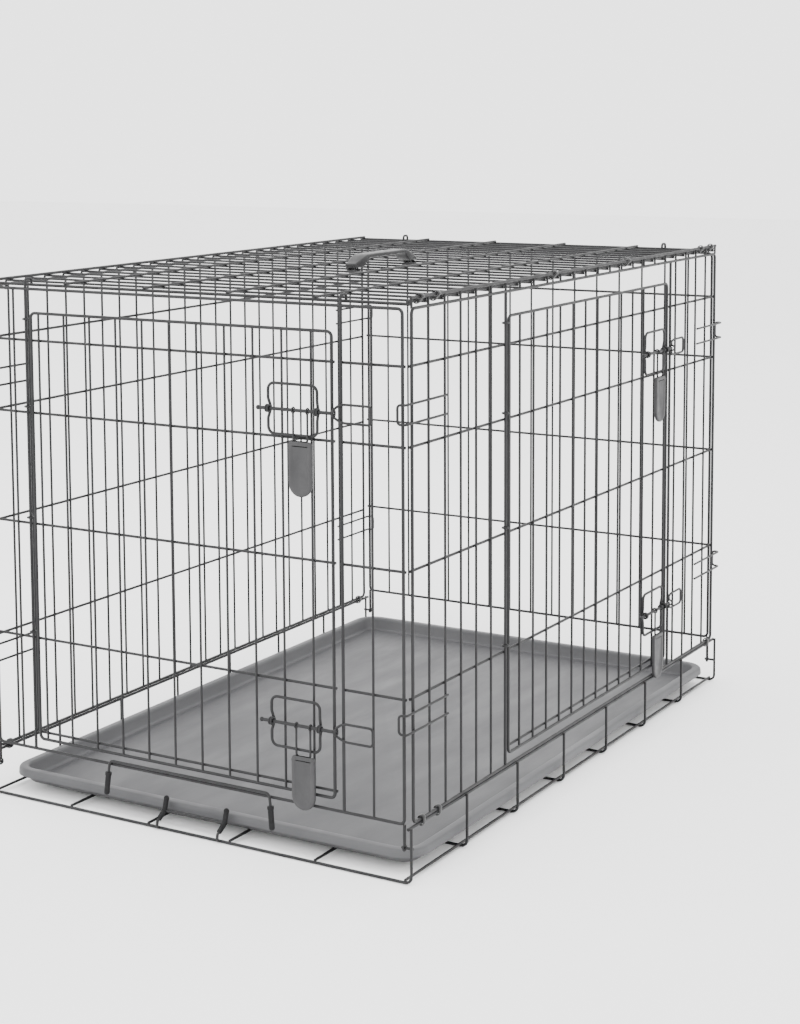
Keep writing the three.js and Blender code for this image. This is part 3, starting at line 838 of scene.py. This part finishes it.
def roof():
    bm = bmesh.new()
    right = ROOF_EDGE + OVERHANG
    crossing = uprights(SIDE_HALF, SIDE_SPACES)
    for i, y in enumerate(crossing):
        diameter = FRAME_WIRE if i in (0, SIDE_SPACES) else MESH_WIRE
        drop = LONG_DROP if i in LONG_DROPS else SHORT_DROP
        if i in (0, SIDE_SPACES):
            start = (ROOF_LEFT + OVERHANG, y, ROOF_CROSS_Z)
            rod(bm, start, (right, y, ROOF_CROSS_Z), diameter)
            continue
        route = [
            (right, y, ROOF_CROSS_Z),
            (ROOF_LEFT, y, ROOF_CROSS_Z),
            (ROOF_LEFT, y, ROOF_CROSS_Z - drop),
        ]
        bent(bm, route, diameter, ROOF_BEND)
    for row in range(ROOF_ROWS + 1):
        x = ROOF_EDGE * (2 * row / ROOF_ROWS - 1)
        diameter = FRAME_WIRE if row in (0, ROOF_ROWS) else RAIL_WIRE
        reach = SIDE_HALF + OVERHANG
        rod(bm, (x, -reach, ROOF_ROWS_Z), (x, reach, ROOF_ROWS_Z), diameter)
    finished("roof_wires", bm, "roof", ["roof_panel"], WIRE)


def ease(value):
    value = min(1.0, max(0.0, value))
    return value * value * (3 - 2 * value)


HANDLE_BASE = 753.5
HANDLE_HALF = 95.0
HANDLE_WIDTH = 24.0
HANDLE_FOOT = 20.0  # flat at each end
HANDLE_RAMP = 24.0
HANDLE_RISE = 13.0
HANDLE_THICK = 6.0
HANDLE_SWELL = 13.6
HANDLE_CUTS = 46
HANDLE_ROUND = 1.9
FINGER_WAVE = 1.1
FINGER_PITCH = 22.0
END_TAPER = 0.24
SHARP = 1.0  # radians, of a long edge that is rounded
CLIP_BLOCK = (22, 12, 4, 1)
CLIP_BLOCK_Z = 747.6
CLIP_ROUND = 1.1
POST_X = 6
POST_Y = 4.2
POST_WIRE = 3.0


def runs_along_y(edge):
    return abs(edge.verts[0].co.y - edge.verts[1].co.y) > 1


def carry_handle():
    """A low moulded arch with finger waves under it and a clip under the roof wire at each end."""
    bm = bmesh.new()
    base, half = HANDLE_BASE, HANDLE_HALF
    size = Matrix.Diagonal((HANDLE_WIDTH, 2 * half, 1, 1))
    bmesh.ops.create_cube(bm, size=1, matrix=Matrix.Translation((0, 0, base)) @ size)
    long_edges = [edge for edge in bm.edges if runs_along_y(edge)]
    bmesh.ops.subdivide_edges(bm, edges=long_edges, cuts=HANDLE_CUTS, use_grid_fill=True)
    for vert in bm.verts:
        end = half - abs(vert.co.y)
        lift = ease((end - HANDLE_FOOT) / HANDLE_RAMP)
        top = base + HANDLE_THICK + HANDLE_SWELL * ease((end + 6) / 46)
        wave = FINGER_WAVE * lift * (0.5 - 0.5 * cos(vert.co.y * 2 * pi / FINGER_PITCH))
        under = base + HANDLE_RISE * lift + wave
        vert.co.z = top if vert.co.z > base else under
        vert.co.x *= 0.76 + END_TAPER * ease(end / 30)
    bm.normal_update()
    rims = [edge for edge in bm.edges if runs_along_y(edge) and edge.calc_face_angle(0) > SHARP]
    ends = [edge for edge in bm.edges if all(abs(abs(v.co.y) - half) < 0.1 for v in edge.verts)]
    round_off(bm, rims + ends, HANDLE_ROUND, 4)
    for side in (-1, 1):
        y = side * 2 * SIDE_PITCH
        place = Matrix.Translation((0, y, CLIP_BLOCK_Z)) @ Matrix.Diagonal(CLIP_BLOCK)
        block = bmesh.ops.create_cube(bm, size=1, matrix=place)
        round_off(bm, edges_among(block["verts"]), CLIP_ROUND, 3)
        for x in (-POST_X, POST_X):
            for post_y in (y + POST_Y, y - POST_Y):
                rod(bm, (x, post_y, 748), (x, post_y, 755), POST_WIRE)
    nodes = ["handle_grip", "handle_clip_front", "handle_clip_rear"]
    finished("carry_handle", bm, "roof", nodes, HANDLE, CRATE, 40)


# ---- pan, its latch and its stop ----


PAN_HALF = 345.7
PAN_FRONT = -508.0
PAN_REAR = 520.0
PAN_TOP = 21.5
PAN_CORNER = 38.0
PAN_SHEET = 2.0


def pan():
    """One moulded sheet: a rolled rim, a flat lip, sloping walls and a floor with a shallow gutter."""
    bm = bmesh.new()
    middle = Vector((0, (PAN_FRONT + PAN_REAR) / 2, PAN_TOP))
    size = Matrix.Diagonal((PAN_HALF, (PAN_REAR - PAN_FRONT) / 2, 1, 1))
    place = Matrix.Translation(middle) @ size
    bmesh.ops.create_grid(bm, x_segments=1, y_segments=1, size=1, matrix=place)
    round_off(bm, list(bm.verts), PAN_CORNER, 9, "VERTICES")
    profile = [  # inward and up, from the rim's edge to the floor
        (0.3, 5.0),
        (0.5, 3.2),
        (0.9, 1.3),
        (1.5, 0.9),
        (1.8, 0.3),
        (7.0, 0.0),
        (1.4, -0.3),
        (1.2, -1.2),
        (0.9, -2.4),
        (1.6, -14.4),
        (1.2, -1.9),
        (1.6, -1.2),
        (2.2, -0.6),
        (4.2, 0.0),
        (1.0, 0.5),
        (1.6, 0.4),
    ]
    sheet = list(bm.faces)
    for inward, rise in profile:
        step_in(bm, sheet, inward, rise)
    bmesh.ops.recalc_face_normals(bm, faces=bm.faces)
    bmesh.ops.solidify(bm, geom=list(bm.faces), thickness=PAN_SHEET)
    finished("pan_shell", bm, "pan", ["pan"], PAN, CRATE, 40)


PAN_LATCH_HALF = 51
HOOK_ROD = 4.2
CROSS_ROD = 3.6
SLEEVE = 7.2
BOOT_WIDTH = 8.0
BOOT_COLLAR = 9.2
BOOT_END = 4.1


def pan_latch():
    bm = bmesh.new()
    sleeves = bmesh.new()
    for x in (-PAN_LATCH_HALF, PAN_LATCH_HALF):
        route = [
            (x, -514.2, 35.5),
            (x, -518.5, 22),
            (x, -535.4, 12),
            (x, -536.6, 5.5),
            (x, -533.5, 2.6),
        ]
        bent(bm, route, HOOK_ROD, 3)
        sleeve = [(x, -513.6, 38), (x, -518.4, 22.3), (x, -531.5, 14)]
        bent(sleeves, sleeve, SLEEVE, 8, sides=ROUND_SIDES)
        ball(sleeves, (x, -513.5, 38.3), BOOT_END)
    rod(bm, (-PAN_LATCH_HALF, -518.5, 22), (PAN_LATCH_HALF, -518.5, 22), CROSS_ROD)
    finished("pan_latch_wire", bm, "pan_latch", ["pan_latch"], WIRE)
    finished("pan_latch_sleeves", sleeves, "pan_latch", [], BOOT)


def pan_stop():
    bm = bmesh.new()
    boots = bmesh.new()
    top = 84
    y = -4.3
    route = [(-139, y - 1.5, 52), (-135, y, top), (135, y, top), (139, y - 1.5, 52)]
    bent(bm, route, RAIL_WIRE, 7)
    for side in (-1, 1):
        boot = [(side * 137.2, y - 0.8, 66), (side * 140, y - 2, 37.5)]
        bent(boots, boot, BOOT_WIDTH, sides=ROUND_SIDES)
        ball(boots, (side * 140, y - 2, 38), BOOT_END)
        collar = (side * 137.5, y - 0.9, 63), (side * 137.2, y - 0.7, 67)
        rod(boots, *collar, BOOT_COLLAR, ROUND_SIDES)
    finished("pan_stop_wire", bm, "pan_stop", ["pan_stop"], WIRE, FRONT)
    finished("pan_stop_boots", boots, "pan_stop", [], BOOT, FRONT)


def build_crate():
    floor_tray()
    front_wall()
    rear_wall()
    right_wall()
    left_wall()
    latches("front", "front_wall", "front_door", FRONT, FRONT_DOORWAY[1], END_BOTTOM)
    latches("side", "right_wall", "side_door", RIGHT, SIDE_DOORWAY[1], RIGHT_BOTTOM)
    catches("right", RIGHT, RIGHT_BOTTOM)
    catches("left", LEFT, LEFT_BOTTOM)
    hooks("front", FRONT, FRONT_DOORWAY)
    quarter = END_HALF * (1 - 4 / REAR_SPACES)
    hooks("rear", REAR, (-quarter, quarter))
    ring_clips()
    roof()
    carry_handle()
    pan()
    pan_latch()
    pan_stop()


# ---- studio ----


FLOOR_HALF = 14
UNDER_CRATE = 0.0005
BOXES_AIM = (0, 0, 0.35)
WORLD_STRENGTH = 2.9


def studio_floor():
    bm = bmesh.new()
    place = Matrix.Translation((0, 0, -UNDER_CRATE))
    bmesh.ops.create_grid(bm, x_segments=1, y_segments=1, size=FLOOR_HALF, matrix=place)
    mesh = bpy.data.meshes.new("studio_floor")
    bm.to_mesh(mesh)
    bm.free()
    finish = Finish("pale studio floor", (0.93, 0.93, 0.93), 0.9, specular=0.1)
    finish.colour(finish.noise(0.6, 2), [(0.3, (0.925, 0.925, 0.925)), (0.7, (0.94, 0.94, 0.94))])
    mesh.materials.append(finish.material)
    floor = bpy.data.objects.new("studio_floor", mesh)
    bpy.context.collection.objects.link(floor)


def soft_box(name, place, size, power):
    data = bpy.data.lights.new(name, "AREA")
    data.shape = "RECTANGLE"
    data.size = size[0]
    data.size_y = size[1]
    data.energy = power
    light = bpy.data.objects.new(name, data)
    light.location = place
    toward = Vector(BOXES_AIM) - Vector(place)
    light.rotation_euler = toward.to_track_quat("-Z", "Y").to_euler()
    bpy.context.collection.objects.link(light)


def studio():
    studio_floor()
    soft_box("overhead_soft_box", (0.3, -0.4, 4.2), (3.6, 3.6), 95)
    soft_box("front_left_soft_box", (-3.2, -3.6, 2.6), (2.4, 2.4), 60)
    soft_box("right_soft_box", (4.2, -1.2, 2.2), (2.4, 2.4), 45)
    world = bpy.data.worlds.new("pale_studio")
    world.use_nodes = True
    background = world.node_tree.nodes["Background"]
    background.inputs["Color"].default_value = (1, 1, 1, 1)
    background.inputs["Strength"].default_value = WORLD_STRENGTH
    bpy.context.scene.world = world


CAMERA_PLACE = (1.5817, -2.6836, 0.9987)
CAMERA_TURN = 0.5472
CAMERA_TILT = 0.1066
CAMERA_ROLL = -0.007


def camera():
    data = bpy.data.cameras.new("front_right_camera")
    data.lens = 70.13
    data.sensor_width = 36
    data.shift_x = 0.0443
    data.shift_y = -0.1875
    data.clip_end = 60
    view = bpy.data.objects.new("front_right_camera", data)
    turn = Matrix.Rotation(CAMERA_TURN, 4, "Z")
    tilt = Matrix.Rotation(pi / 2 - CAMERA_TILT, 4, "X")
    roll = Matrix.Rotation(CAMERA_ROLL, 4, "Z")
    view.matrix_world = Matrix.Translation(CAMERA_PLACE) @ turn @ tilt @ roll
    bpy.context.collection.objects.link(view)
    bpy.context.scene.camera = view


build_crate()
studio()
camera()
